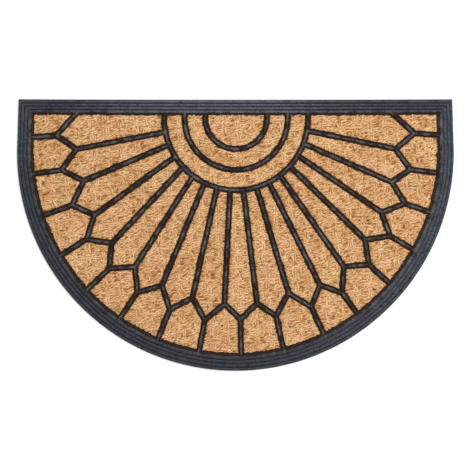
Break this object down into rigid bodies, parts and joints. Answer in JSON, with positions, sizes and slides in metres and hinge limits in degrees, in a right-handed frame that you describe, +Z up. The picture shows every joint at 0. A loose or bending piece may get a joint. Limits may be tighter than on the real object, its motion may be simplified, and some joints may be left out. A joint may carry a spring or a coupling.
{
  "type": "half-round coir and rubber doormat",
  "caption": "Half-round doormat: a black rubber moulding with a ridged border and a raised sunburst grid that grips a woven coir cloth, for wiping shoes at a door.",
  "frame": {"origin": "on the surface that the mat lies on, under the middle of its outline's box", "axes": "+X along the straight edge, +Y from the round edge to the straight edge, +Z up out of the coir"},
  "size_m": [0.75, 0.466, 0.008],
  "materials": {
    "rubber": "grainy moulded black rubber, dull satin on its ridges",
    "coir": "dry, frizzy coconut fibre in a thick basket weave"
  },
  "bodies": {
    "root": {"rubber": "rubber", "coir_cloth": "coir"}
  },
  "joints": []
}
